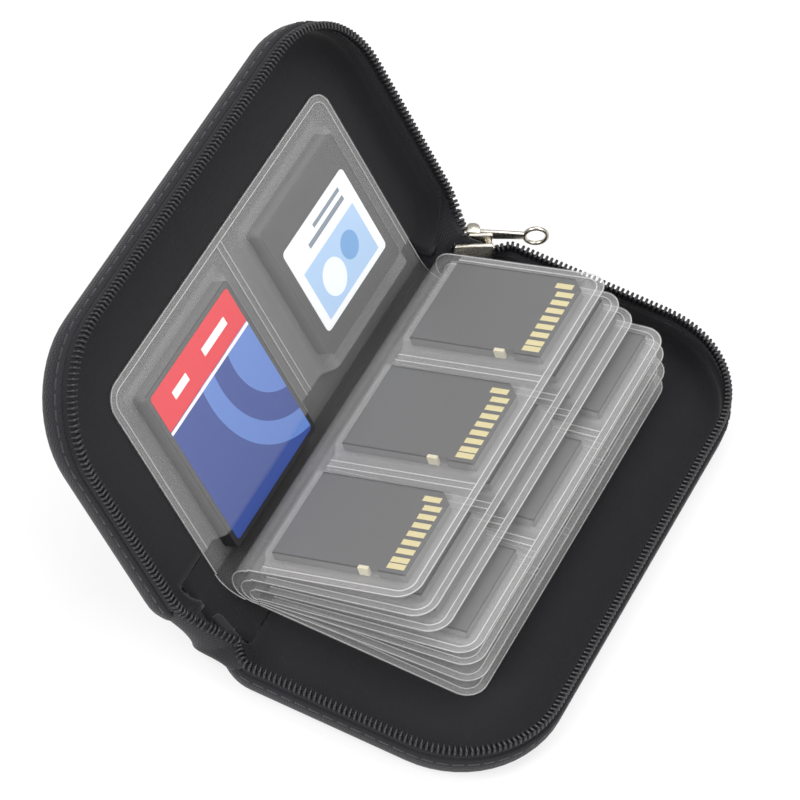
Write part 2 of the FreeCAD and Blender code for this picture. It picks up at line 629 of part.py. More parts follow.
# Small cards lie contact side up with their contacts towards the free edge. Each has a cut corner,
# nine gold contacts in shallow recesses and a lock tab in a notch of its side.
def small_card_place(leaf, pocket):
    start = num(leaf_widths[leaf] + " - small_card_margin - small_card_length")
    middle = num(share_middle(pocket, SMALL_POCKETS))
    return leaf_places[leaf] * move(start, middle, num("film + card_seat_gap"))


half_card = "small_card_width / 2"
half_length = num("small_card_length / 2")


def contact_corner(contact):
    """Lower left corner of a contact, counted from the cut corner."""
    steps = min(contact, CONTACTS - 2)
    middle = half_card + " - contact_first - contact_pitch * %d" % steps
    if contact == CONTACTS - 1:
        middle = middle + " - contact_end_pitch"
    inset = "contact_first_inset" if contact == 0 else "contact_inset"
    return ("small_card_length - " + inset + " - contact_length", middle + " - contact_width / 2")


def card_blank(body, name, low):
    sketch = rectangle(body, name, low, ("small_card_length", "small_card_width"))
    return pad(body, sketch, "small_card_thickness")


notch_start = "small_card_length - lock_notch_inset - lock_notch_length"
notch_low = (notch_start, "0 - " + half_card + " - overrun")
notch_size = ("lock_notch_length", "lock_notch_depth + overrun")
contact_size = ("contact_length", "contact_width")
contact_seat = "small_card_thickness - contact_thickness"
for pocket in range(SMALL_POCKETS):
    label = "top_card_%d" % (pocket + 1)
    place = small_card_place(2, pocket)
    card = new_body(label)
    blank = card_blank(card, label + "_blank", ("0", "0 - " + half_card))
    round_corners(card, blank, "small_card_chamfer", lambda at: at.x > half_length and at.y > 0,
                  "PartDesign::Chamfer")
    cut_up(card, rectangle(card, label + "_notch", notch_low, notch_size), "small_card_thickness")
    contacts = new_body(label + "_contacts")
    for contact in range(CONTACTS):
        low = contact_corner(contact)
        recess = rectangle(card, "%s_recess_%d" % (label, contact + 1), low, contact_size, contact_seat)
        cut_up(card, recess, "contact_thickness + overrun")
        gold = rectangle(contacts, "%s_gold_%d" % (label, contact + 1), low, contact_size, contact_seat)
        pad(contacts, gold, "contact_thickness")
    keep(card, label, place)
    keep(contacts, label + "_contacts", place)
    tab_low = (notch_start + " + lock_tab_gap", "0 - " + half_card)
    tab_size = ("lock_tab_length", "lock_notch_depth")
    plate(label + "_lock_tab", tab_low, tab_size, "small_card_thickness", place)

# The cards in leaves 3, 4 and 5 show only their ends, so each leaf's three are one group.
for leaf in loaded_leaves[1:]:
    label = "leaf_%d_cards" % leaf
    group = new_body(label)
    for pocket in range(SMALL_POCKETS):
        low = ("0", share_middle(pocket, SMALL_POCKETS) + " - " + half_card)
        card_blank(group, "%s_blank_%d" % (label, pocket + 1), low)
    start = num(leaf_widths[leaf] + " - small_card_margin - small_card_length")
    keep(group, label, leaf_places[leaf] * move(start, 0, num("film + card_seat_gap")))

# Leaf 1 holds a wide card and a square card, each with a paper label. The lid's frame is turned
# over, so its Y axis runs away from the slider.
card_seat = num("film + card_seat_gap")
wide_place = leaf_places[1] * move(num("wide_card_start"), num("leaf_length / 4"), card_seat)
wide_low = ("0", "0 - wide_card_width / 2")
plate("wide_card", wide_low, ("wide_card_length", "wide_card_width"), "wide_card_thickness", wide_place,
      "wide_card_corner", lambda at: True)
wide_label_low = ("wide_label_inset", wide_low[1] + " + wide_label_inset")
wide_label_size = ("wide_card_length - 2 * wide_label_inset", "wide_card_width - 2 * wide_label_inset")
plate("wide_card_label", wide_label_low, wide_label_size, "label_thickness",
      wide_place * move(0, 0, num("wide_card_thickness")), "wide_card_corner", lambda at: True)
square_place = leaf_places[1] * move(num("square_card_start"), -num("leaf_length / 4"), card_seat)
square_low = ("0", "0 - square_card_width / 2")
plate("square_card", square_low, ("square_card_length", "square_card_width"), "square_card_thickness",
      square_place, "square_card_corner", lambda at: True)
square_label_low = ("square_label_inset", "0 - square_label_width / 2")
plate("square_card_label", square_label_low, ("square_label_length", "square_label_width"), "label_thickness",
      square_place * move(0, 0, num("square_card_thickness")), "square_card_corner", lambda at: True)

doc.recompute()
for thing in doc.Objects:
    if "Invalid" in thing.State or "Error" in thing.State:
        raise RuntimeError(thing.Label + " did not build")
for node in nodes:
    if node.Shape.isNull() or not node.Shape.isValid():
        raise RuntimeError(node.Label + " has no valid shape")

os.makedirs("parts", exist_ok=True)
for node in nodes:
    node.Shape.exportStep("parts/" + node.Label + ".step")
print(len(nodes), "pieces")
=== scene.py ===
import json
import math

import bmesh
import bpy
from mathutils import Matrix, Vector


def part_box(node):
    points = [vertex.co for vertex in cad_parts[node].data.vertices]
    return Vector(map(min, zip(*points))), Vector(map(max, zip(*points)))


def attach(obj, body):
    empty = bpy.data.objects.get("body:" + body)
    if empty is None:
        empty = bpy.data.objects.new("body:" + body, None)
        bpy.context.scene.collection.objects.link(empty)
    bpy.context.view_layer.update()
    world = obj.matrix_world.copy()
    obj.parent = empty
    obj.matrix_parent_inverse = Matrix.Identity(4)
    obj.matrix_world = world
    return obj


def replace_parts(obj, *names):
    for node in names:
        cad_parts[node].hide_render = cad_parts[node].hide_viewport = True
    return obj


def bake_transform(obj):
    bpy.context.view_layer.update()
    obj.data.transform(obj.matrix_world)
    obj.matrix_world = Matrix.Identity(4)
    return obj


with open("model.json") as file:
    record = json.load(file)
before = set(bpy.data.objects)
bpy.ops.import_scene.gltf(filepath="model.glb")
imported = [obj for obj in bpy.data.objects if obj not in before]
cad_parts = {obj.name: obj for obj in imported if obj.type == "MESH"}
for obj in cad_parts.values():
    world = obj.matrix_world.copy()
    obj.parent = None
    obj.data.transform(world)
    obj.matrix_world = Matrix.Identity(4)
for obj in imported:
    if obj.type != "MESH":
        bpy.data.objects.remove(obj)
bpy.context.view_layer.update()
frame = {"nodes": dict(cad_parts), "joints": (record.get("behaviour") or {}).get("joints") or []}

# The covers: two shallow trays of black woven nylon pressed over foam board, with soft rounded edges.
# The lid is the same tray turned over and opened about the fold line. Both are open along the spine, where
# their rims dip, so that the cloth between them can bend.
mm = 0.001
joints = {joint["name"]: joint for joint in frame["joints"]}
fold = Vector(joints["case_fold"]["pos_m"])
open_angle = -math.radians(joints["case_fold"]["range_deg"][0])
on_base = Matrix.Translation((fold.x, 0, 0))
on_lid = (
    Matrix.Translation(fold)
    @ Matrix.Rotation(-open_angle, 4, "Y")
    @ Matrix.Rotation(math.pi, 4, "X")
    @ Matrix.Translation((0, 0, -fold.z))
)
covers = (("base", on_base), ("lid", on_lid))
wall_low, wall_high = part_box("base_wall")
spine_edge = wall_low.x - fold.x
free_edge = wall_high.x - fold.x
half_length = wall_high.y
wall_top = wall_high.z
spine_corner = 11 * mm
free_corner = 24 * mm
edge_round = 5 * mm
mouth_half = half_length - spine_corner
board = 1.45 * mm
crowns = {"base": 0.0, "lid": 0.8 * mm}
dip_length = 8 * mm
dip_wall = 0.3 * mm
shortest_side = 10 * mm
touching = 0.01 * mm


def colour(code):
    """A linear colour from an sRGB hex code."""
    parts = [int(code[i:i + 2], 16) / 255 for i in (1, 3, 5)]
    return [p / 12.92 if p <= 0.04045 else ((p + 0.055) / 1.055) ** 2.4 for p in parts] + [1]


def add(material, kind, inputs=(), **settings):
    """Adds a node with its settings; an input is a value or the socket that feeds it."""
    node = material.node_tree.nodes.new("ShaderNode" + kind)
    for name, value in settings.items():
        setattr(node, name, value)
    for name, value in dict(inputs).items():
        if isinstance(value, bpy.types.NodeSocket):
            material.node_tree.links.new(value, node.inputs[name])
        else:
            node.inputs[name].default_value = value
    return node


def surface(name, **inputs):
    """A new material and its surface shader with constant inputs set."""
    material = bpy.data.materials.new(name)
    material.use_nodes = True
    shader = material.node_tree.nodes["Principled BSDF"]
    for socket, value in inputs.items():
        shader.inputs[socket.replace("_", " ")].default_value = value
    return material, shader


def piece(name, bm, material, place=Matrix()):
    """Makes a piece from a bmesh, with its place in its mesh."""
    bm.transform(place)
    mesh = bpy.data.meshes.new(name)
    bm.to_mesh(mesh)
    bm.free()
    mesh.shade_smooth()
    thing = bpy.data.objects.new(name, mesh)
    bpy.context.scene.collection.objects.link(thing)
    mesh.materials.append(material)
    return thing


def thicken(thing, thickness, offset=-1.0):
    """Gives a sheet its thickness: inwards at an offset of -1, to both sides at 0, outwards at 1."""
    solid = thing.modifiers.new("thickness", "SOLIDIFY")
    solid.thickness = thickness
    solid.offset = offset
    return thing


# Woven nylon: matt black thread with a faint sheen, dyed a little unevenly. The weave is drawn at 0.7 mm,
# about three times the real thread spacing, so that it shows in the render. At a scale of 1 a wave texture
# repeats at the wave length given here.
wave_length = 0.314
mottle_size = 6 * mm


def cloth(name, shades, spacing, depth, rough):
    """A woven cloth: rows of thread along each axis over a mottled ground."""
    material, shader = surface(name, Roughness=rough, Sheen_Weight=0.12, Sheen_Roughness=0.5, IOR=1.45)
    links = material.node_tree.links
    place = add(material, "TexCoord").outputs["Object"]
    mottle = add(material, "TexNoise", {"Vector": place, "Scale": 1 / mottle_size, "Detail": 4.0})
    dark, pale = (colour(code) for code in shades)
    tone = add(material, "Mix", {"Factor": mottle.outputs["Fac"], "A": dark, "B": pale}, data_type="RGBA")
    links.new(tone.outputs["Result"], shader.inputs["Base Color"])
    rows = {"Vector": place, "Scale": wave_length / spacing, "Distortion": 0.6, "Detail Scale": 2.0}
    waves = [add(material, "TexWave", rows, bands_direction=axis).outputs["Fac"] for axis in "XYZ"]
    level = add(material, "Math", {0: waves[0], 1: waves[1]}, operation="ADD").outputs[0]
    relief = add(material, "Math", {0: level, 1: waves[2]}, operation="ADD").outputs[0]
    bump = add(material, "Bump", {"Height": relief, "Strength": 0.35, "Distance": depth})
    links.new(bump.outputs["Normal"], shader.inputs["Normal"])
    return material


nylon = cloth("woven_nylon", ("#0f0f14", "#17171e"), spacing=0.7 * mm, depth=0.16 * mm, rough=0.82)


def rounded_plan(inset, height):
    """A cover's outline as one face: a rectangle whose corners are rounded by bevels."""
    bm = bmesh.new()
    bmesh.ops.create_grid(bm, x_segments=1, y_segments=1, size=0.5)
    size = (free_edge - spine_edge - 2 * inset, 2 * (half_length - inset), 1)
    bmesh.ops.scale(bm, vec=size, verts=bm.verts)
    bmesh.ops.translate(bm, vec=((spine_edge + free_edge) / 2, 0, height), verts=bm.verts)
    ends = (inset - half_length, half_length - inset)
    for x, radius in ((spine_edge + inset, spine_corner), (free_edge - inset, free_corner)):
        corners = [v for v in bm.verts for y in ends if (v.co - Vector((x, y, height))).length < touching]
        bmesh.ops.bevel(bm, geom=corners, offset=radius - inset, segments=14, profile=0.5,
                        affect="VERTICES", material=-1)
    sides = [e for e in bm.edges if e.calc_length() > shortest_side]
    bmesh.ops.subdivide_edges(bm, edges=sides, cuts=15)
    return bm


def many_sided(bm):
    """The face with the most corners, which is a cover's plan."""
    return max(bm.faces, key=lambda face: len(face.verts))


def ease(share):
    """Goes smoothly from 0 to 1 as its share does, and stays level outside."""
    share = min(max(share, 0.0), 1.0)
    return share * share * (3 - 2 * share)


def tray(inset, top, floor, edge, crown):
    """The skin of a tray: down its wall, round its edge and in over its floor, open along the spine."""
    bm = rounded_plan(inset, top)
    bmesh.ops.reverse_faces(bm, faces=bm.faces)
    steps = [(0.0, top - floor - edge)]
    quarter = [math.radians(90 * i / 6) for i in range(7)]
    for before, after in zip(quarter, quarter[1:]):
        inwards = edge * (math.cos(before) - math.cos(after))
        steps.append((inwards, edge * (math.sin(after) - math.sin(before))))
    steps += [(width, crown / 2) for width in (2 * mm, 3 * mm)]
    for thickness, depth in steps:
        bmesh.ops.inset_individual(bm, faces=[many_sided(bm)], thickness=thickness, depth=depth,
                                   use_even_offset=True)
    reach = spine_edge + inset + edge
    middles = [(face, face.calc_center_median()) for face in bm.faces]
    open_side = [face for face, at in middles if at.x < reach and abs(at.y) < mouth_half]
    bmesh.ops.delete(bm, geom=open_side, context="FACES")
    for v in bm.verts:
        if v.co.z > top - touching:
            low = 1 - ease((v.co.x - spine_edge - inset) / dip_length)
            v.co.z -= (top - floor - edge - dip_wall) * low
    return bm


for side, place in covers:
    skin = tray(0.0, wall_top, 0.0, edge_round, crowns[side])
    cover = thicken(piece(side + "_cover", skin, nylon, place), board)
    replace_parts(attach(cover, side), side + "_panel", side + "_wall")

# The linings: thin black cloth glued to the inside of each tray, from its floor up to the zip tape.
# Plain-woven lining is flatter and duller than the nylon. Its weave is drawn at 0.35 mm, coarser than the
# real one too.
lining_cloth = cloth("lining_cloth", ("#09090c", "#0e0e14"), spacing=0.35 * mm, depth=0.06 * mm, rough=0.9)
lining_lift = board + 0.1 * mm
lining_top = wall_top - 0.3 * mm
lining_thickness = 0.35 * mm
for side, place in covers:
    skin = tray(lining_lift, lining_top, lining_lift, edge_round - board, 0.0)
    lining = thicken(piece(side + "_lining_cloth", skin, lining_cloth, place), lining_thickness)
    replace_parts(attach(lining, side), side + "_lining")

# The spine: one strip of the covers' nylon bent round the fold line and lapped onto both covers, and a strip
# of lining inside it.
closing = math.pi - open_angle
arc_start = Vector((fold.x, 0, 0))
base_way = Vector((1, 0, 0))
lid_way = Vector((math.cos(open_angle), 0, math.sin(open_angle)))
spine_thickness = 1.1 * mm
spine_laps = (1 * mm, 4.8 * mm)
spine_half = mouth_half + 0.2 * mm
inner_laps = (6 * mm,)
inner_half = mouth_half - 0.6 * mm


def bent_strip(radius, half, laps):
    """Cloth spun round the fold line from the base to the lid, with laps that lie on both."""
    bm = bmesh.new()
    bm.edges.new([bm.verts.new((fold.x, y, fold.z - radius)) for y in (-half, half)])
    bmesh.ops.subdivide_edges(bm, edges=list(bm.edges), cuts=40)
    first = list(bm.edges)
    spun = bmesh.ops.spin(bm, geom=first, cent=fold, axis=(0, 1, 0), angle=closing, steps=14)
    last = [g for g in spun["geom_last"] if isinstance(g, bmesh.types.BMEdge)]
    for edges, way in ((first, base_way), (last, lid_way)):
        for lap in laps:
            grown = bmesh.ops.extrude_edge_only(bm, edges=edges)["geom"]
            corners = [g for g in grown if isinstance(g, bmesh.types.BMVert)]
            bmesh.ops.translate(bm, vec=way * lap, verts=corners)
            edges = [g for g in grown if isinstance(g, bmesh.types.BMEdge)]
    bmesh.ops.recalc_face_normals(bm, faces=bm.faces)
    probe = max(bm.faces, key=lambda face: face.calc_area())
    if probe.normal.dot(probe.calc_center_median() - fold) < 0:
        bmesh.ops.reverse_faces(bm, faces=bm.faces)
    return bm


outer = piece("spine_cloth", bent_strip(fold.z, spine_half, spine_laps), nylon)
inner = piece("spine_lining_cloth", bent_strip(fold.z - lining_lift, inner_half, inner_laps), lining_cloth)
for strip, thickness, node, slot in (
    (outer, spine_thickness, "spine_panel", "cover_fabric"),
    (inner, lining_thickness, "spine_lining", "lining_fabric"),
):
    thicken(strip, thickness)
    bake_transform(strip)
    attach(strip, "base")
    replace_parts(strip, node)

# The zip: a woven tape sewn inside each wall carries half of a nylon coil, whose loops stand in a row along
# its edge. A row of stitches round the outside of the wall holds the tape. All three stop at the corners by
# the spine.
coil_low, coil_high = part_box("base_zip_coil")
coil_start = coil_low.x - fold.x
coil_top = coil_high.z
coil_pitch = 1.15 * mm
coil_inset = 1.0 * mm
loop_size = (0.62 * mm, 1.7 * mm, 1.9 * mm)
loop_round = 0.2 * mm
loop_slant = math.radians(10)
loop_level = coil_top - loop_size[2] / 2
tape_inset = 0.9 * mm
tape_low = wall_top - 1.5 * mm
tape_high = coil_top - 0.9 * mm
tape_lean = 0.1 * mm
tape_thickness = 0.5 * mm
stitch_size = (2.4 * mm, 0.4 * mm, 0.4 * mm)
stitch_round = 0.12 * mm
stitch_pitch = 3.2 * mm
stitch_level = wall_top - 1.2 * mm
stitch_inset = 0.02 * mm

# Twill tape: dense, dull and ribbed. The ribs are drawn at 0.6 mm, coarser than the real ones, to show.
tape_cloth = cloth("zip_tape_twill", ("#0d0d11", "#141419"), spacing=0.6 * mm, depth=0.1 * mm, rough=0.85)

# Nylon monofilament: smooth black loops whose soft shine is worn in patches of about 3 mm.
coil_nylon, coil_shader = surface("nylon_coil", Base_Color=colour("#1b1b1e"), IOR=1.53)
coil_place = add(coil_nylon, "TexCoord").outputs["Object"]
wear = add(coil_nylon, "TexNoise", {"Vector": coil_place, "Scale": 1 / (3 * mm)})
worn = add(coil_nylon, "MapRange", {"Value": wear.outputs["Fac"], "To Min": 0.3, "To Max": 0.5})
coil_nylon.node_tree.links.new(worn.outputs["Result"], coil_shader.inputs["Roughness"])


# Spun sewing thread: dull, with a twist that repeats every 0.4 mm along it.
def spun_thread(name, code, sheen, strength):
    """A thread whose twist shows as slanting ridges."""
    material, shader = surface(name, Base_Color=colour(code), Roughness=0.7, Sheen_Weight=sheen)
    place = add(material, "TexCoord").outputs["Object"]
    twist = add(material, "TexWave", {"Vector": place, "Scale": wave_length / (0.4 * mm)},
                bands_direction="DIAGONAL")
    ridges = {"Height": twist.outputs["Fac"], "Strength": strength, "Distance": 0.05 * mm}
    bump = add(material, "Bump", ridges)
    material.node_tree.links.new(bump.outputs["Normal"], shader.inputs["Normal"])
    return material


black_thread = spun_thread("sewing_thread", "#1f1f23", sheen=0.3, strength=0.4)


def rim_band(inset, low, high, lean):
    """A band that stands round a cover's rim from one height to another and leans inwards."""
    bm = rounded_plan(inset, low)
    bmesh.ops.inset_individual(bm, faces=bm.faces, thickness=lean, depth=high - low, use_even_offset=True)
    bmesh.ops.delete(bm, geom=[many_sided(bm)], context="FACES_ONLY")
    bmesh.ops.bisect_plane(bm, geom=list(bm.verts) + list(bm.edges) + list(bm.faces),
                           plane_co=(coil_start, 0, 0), plane_no=(1, 0, 0), clear_inner=True)
    return bm


def rim_walk(inset, height, pitch):
    """Even stations round a cover's rim with the way it runs there, from one end of the zip to the other."""
    bm = rounded_plan(inset, height)
    loop = [v.co.copy() for v in many_sided(bm).verts]
    bm.free()
    first = max(range(len(loop)), key=lambda i: (loop[i].x < spine_edge + inset + touching, -loop[i].y))
    loop = loop[first:] + loop[:first]
    stations = []
    left = 0.0
    for here, there in zip(loop, loop[1:]):
        way = (there - here).normalized()
        span = (there - here).length
        while left < span:
            spot = here + way * left
            if spot.x > coil_start:
                stations.append((spot, way))
            left += pitch
        left -= span
    return stations


def beads(stations, size, round_over, slant=0.0):
    """A row of small rounded bars, one at each station and square to the way the row runs."""
    bm = bmesh.new()
    shape = Matrix.Rotation(slant, 4, "Z") @ Matrix.Diagonal((*size, 1))
    for spot, way in stations:
        turn = Vector((1, 0, 0)).rotation_difference(way).to_matrix().to_4x4()
        bmesh.ops.create_cube(bm, size=1, matrix=Matrix.Translation(spot) @ turn @ shape)
    bmesh.ops.bevel(bm, geom=bm.edges, offset=round_over, segments=1, profile=0.5,
                    affect="EDGES", material=-1)
    return bm


for side, place in covers:
    band = rim_band(tape_inset, tape_low, tape_high, tape_lean)
    tape = thicken(piece(side + "_tape_twill", band, tape_cloth, place), tape_thickness, 0.0)
    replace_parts(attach(tape, side), side + "_zip_tape")
    loops = beads(rim_walk(coil_inset, loop_level, coil_pitch), loop_size, loop_round, loop_slant)
    coil = piece(side + "_coil_loops", loops, coil_nylon, place)
    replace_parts(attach(coil, side), side + "_zip_coil")
    seam = beads(rim_walk(stitch_inset, stitch_level, stitch_pitch), stitch_size, stitch_round)
    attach(piece(side + "_rim_stitches", seam, black_thread, place), side)

# The closed stub of the zip: a short web of the tape that stands on the corner of the base, with loops of
# both halves of the coil meshed along it. The slider runs on it.
along = Vector(joints["zip_slide"]["axis"])
upward = Vector((0, 0, 1))
outward = upward.cross(along)
pin = Vector(joints["pull_swivel"]["pos_m"])
pin_reach = 3.55 * mm
middle = pin - outward * pin_reach
on_zip = Matrix.Translation(middle) @ Matrix((along, outward, upward)).transposed().to_4x4()
tail_low = -4.85 * mm
tail_high = 2.35 * mm
web_foot = wall_top - middle.z
web_thickness = 0.5 * mm
tail_loop = (0.6 * mm, 1.4 * mm, 1.4 * mm)
tail_level = 0.55 * mm
tail_count = 6
tail_first = 0.4
tail_shift = 0.25


def bar(bm, size, place):
    """A plain bar in a bmesh, for bevelling later; returns its corners."""
    shape = Matrix.Translation(place) @ Matrix.Diagonal((*size, 1))
    return bmesh.ops.create_cube(bm, size=1, matrix=shape)["verts"]


tail = bmesh.new()
bar(tail, (tail_high - tail_low, web_thickness, -web_foot), ((tail_low + tail_high) / 2, 0, web_foot / 2))
web = piece("zip_tail_web", tail, tape_cloth, on_zip)
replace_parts(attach(web, "base"), "zip_tail")
tail_stations = []
for i in range(tail_count):
    for level in (-1, 1):
        at = tail_low + (i + tail_first + tail_shift * level) * coil_pitch
        tail_stations.append((Vector((at, 0, tail_level * level)), Vector((1, 0, 0))))
chain = piece("zip_tail_loops", beads(tail_stations, tail_loop, loop_round), coil_nylon, on_zip)
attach(chain, "base")

# The slider: two cast plates joined by a post at its wide end, with a pair of rounded lugs on the outer plate
# and a cross pin through them for the pull.
slider_length = 8.5 * mm
slider_height = 5.4 * mm
slider_thick = 4.2 * mm
plate = 1.1 * mm
plate_round = 0.35 * mm
narrow_end = 0.72
post = 1.6 * mm
lug_size = (3.0 * mm, 2.7 * mm, 0.9 * mm)
lug_sink = 0.05 * mm
lug_level = 1.9 * mm
lug_top_round = 1.3 * mm
lug_edge_round = 0.12 * mm
pin_radius = 0.6 * mm
pin_length = 4.0 * mm

# Nickel plate on a zinc casting: warm grey metal, a little uneven every 1.2 mm or so in its shine and relief.
nickel, nickel_shader = surface("nickel_plate", Base_Color=colour("#c9c4b8"), Metallic=1.0)
nickel_place = add(nickel, "TexCoord").outputs["Object"]
cast = add(nickel, "TexNoise", {"Vector": nickel_place, "Scale": 1 / (1.2 * mm), "Detail": 3.0})
dull = add(nickel, "MapRange", {"Value": cast.outputs["Fac"], "To Min": 0.18, "To Max": 0.38})
nickel.node_tree.links.new(dull.outputs["Result"], nickel_shader.inputs["Roughness"])
cast_bump = add(nickel, "Bump", {"Height": cast.outputs["Fac"], "Strength": 0.15, "Distance": 0.05 * mm})
nickel.node_tree.links.new(cast_bump.outputs["Normal"], nickel_shader.inputs["Normal"])

slider = bmesh.new()
for level in (-1, 1):
    corners = bar(slider, (slider_length, plate, slider_height), (0, level * (slider_thick - plate) / 2, 0))
    for v in corners:
        v.co.z *= narrow_end if v.co.x < 0 else 1.0
bar(slider, (post, slider_thick - plate, post), ((slider_length - post) / 2, 0, 0))
bmesh.ops.bevel(slider, geom=slider.edges, offset=plate_round, segments=3, profile=0.5,
                affect="EDGES", material=-1)
lugs = bmesh.new()
for level in (-1, 1):
    bar(lugs, lug_size, (0, slider_thick / 2 + lug_size[1] / 2 - lug_sink, level * lug_level))
lug_tops = [e for e in lugs.edges if all(v.co.y > slider_thick / 2 + lug_sink for v in e.verts)]
lug_tops = [e for e in lug_tops if e.verts[0].co.x * e.verts[1].co.x > 0]
bmesh.ops.bevel(lugs, geom=lug_tops, offset=lug_top_round, segments=6, profile=0.5,
                affect="EDGES", material=-1)
bmesh.ops.bevel(lugs, geom=lugs.edges, offset=lug_edge_round, segments=2, profile=0.5,
                affect="EDGES", material=-1)
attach(piece("slider_lugs", lugs, nickel, on_zip), "slider")
bmesh.ops.create_cone(slider, cap_ends=True, segments=24, radius1=pin_radius, radius2=pin_radius,
                      depth=pin_length, matrix=Matrix.Translation((0, pin_reach, 0)))
slider_body = piece("slider_body", slider, nickel, on_zip)
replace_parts(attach(slider_body, "slider"), "zip_slider")

# The pull: a flat nickel-plated strip that narrows away from the slider, with a round eye on the cross pin at
# one end and an open ring of wire at the other.
pull_length = 17.0 * mm
strip_thickness = 0.9 * mm
strip_height = 2.6 * mm
strip_round = 0.25 * mm
narrow_strip = 0.75
eye_radius = 1.25 * mm
ring_radius = 2.5 * mm
wire = 0.5 * mm
ring_middle = Vector((pull_length - ring_radius - wire, pin_reach, 0))
strip_end = ring_middle.x - ring_radius
pull = bmesh.new()
corners = bar(pull, (strip_end - pin_radius, strip_thickness, strip_height),
              ((strip_end + pin_radius) / 2, pin_reach, 0))
for v in corners:
    v.co.z *= narrow_strip if v.co.x > strip_end / 2 else 1.0
bmesh.ops.bevel(pull, geom=pull.edges, offset=strip_round, segments=2, profile=0.5,
                affect="EDGES", material=-1)
ring_side = Matrix.Translation(ring_middle + Vector((ring_radius, 0, 0)))
section = bmesh.ops.create_circle(pull, segments=10, radius=wire, matrix=ring_side)["verts"]
section_edges = [e for e in pull.edges if all(v in section for v in e.verts)]
bmesh.ops.spin(pull, geom=section + section_edges, cent=ring_middle, axis=(0, 1, 0), angle=2 * math.pi,
               steps=36, use_merge=True)
bmesh.ops.create_cone(pull, cap_ends=True, segments=24, radius1=eye_radius, radius2=eye_radius,
                      depth=strip_height, matrix=Matrix.Translation((0, pin_reach, 0)))
bmesh.ops.recalc_face_normals(pull, faces=pull.faces)
pull_tab = piece("pull_tab", pull, nickel, on_zip)
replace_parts(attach(pull_tab, "pull"), "zip_pull")

# The end tab: a scrap of the zip's tape folded over the other end of the chain and sewn down on the corner of
# the base. The fold leaves its edges round, here by a share of its size each way.
tab_low, tab_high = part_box("zip_end_tab")
tab_size = (9 * mm, 2.4 * mm, 4 * mm)
tab_round = 0.22
tab_place = (
    Matrix.Translation((tab_low + tab_high) / 2)
    @ Matrix.Rotation(math.atan2(-along.y, along.x), 4, "Z")
    @ Matrix.Diagonal((*tab_size, 1))
)
tab = bmesh.new()
bmesh.ops.create_cube(tab, size=1)
bmesh.ops.bevel(tab, geom=tab.edges, offset=tab_round, segments=4, profile=0.5, affect="EDGES", material=-1)
end_tab = piece("end_tab_cloth", tab, tape_cloth, tab_place)
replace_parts(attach(end_tab, "base"), "zip_end_tab")

# The gathered corners: at both ends of the spine the nylon is drawn into a soft corner that closes the
# opening between the covers, from the spine up to the zip. The two halves of the coil run on along its upper
# edge, to the slider's mouth and top at one end and under the tab at the other.
tucked_share = 0.3
tucked_radius = 0.96
tucked_length = 1.5 * mm
arc_share = 0.7
lap_length = 15 * mm
skin_from = math.radians(6)
skin_turn = math.radians(74)
skin_foot = 0.15
skin_climb = 0.8
zip_share = 0.75
join_from = 0.8
join = 0.75
root_pull = 4 * mm
skin_pull = 0.7
cloth_outside = 0.6 * mm
walk_steps = 40
off_middle = 0.01
first_loop = 0.6
below_edge = 0.94


def bend(start, end, way_start, way_end, share):
    """A spot on a smooth line between two places, which leaves and arrives along the given ways."""
    square = share * share
    cube = square * share
    spot = start * (2 * cube - 3 * square + 1) + end * (3 * square - 2 * cube)
    return spot + way_start * (cube - 2 * square + share) + way_end * (cube - square)


def corner_skin(angle, height):
    """A spot on the outside of a cover's corner by the spine, at an angle round it and a height."""
    low = max(edge_round - height, 0.0)
    reach = spine_corner - edge_round + math.sqrt(edge_round ** 2 - low ** 2)
    from_fold = spine_edge + spine_corner - reach * math.cos(angle)
    return Vector((from_fold, mouth_half + reach * math.sin(angle), height))


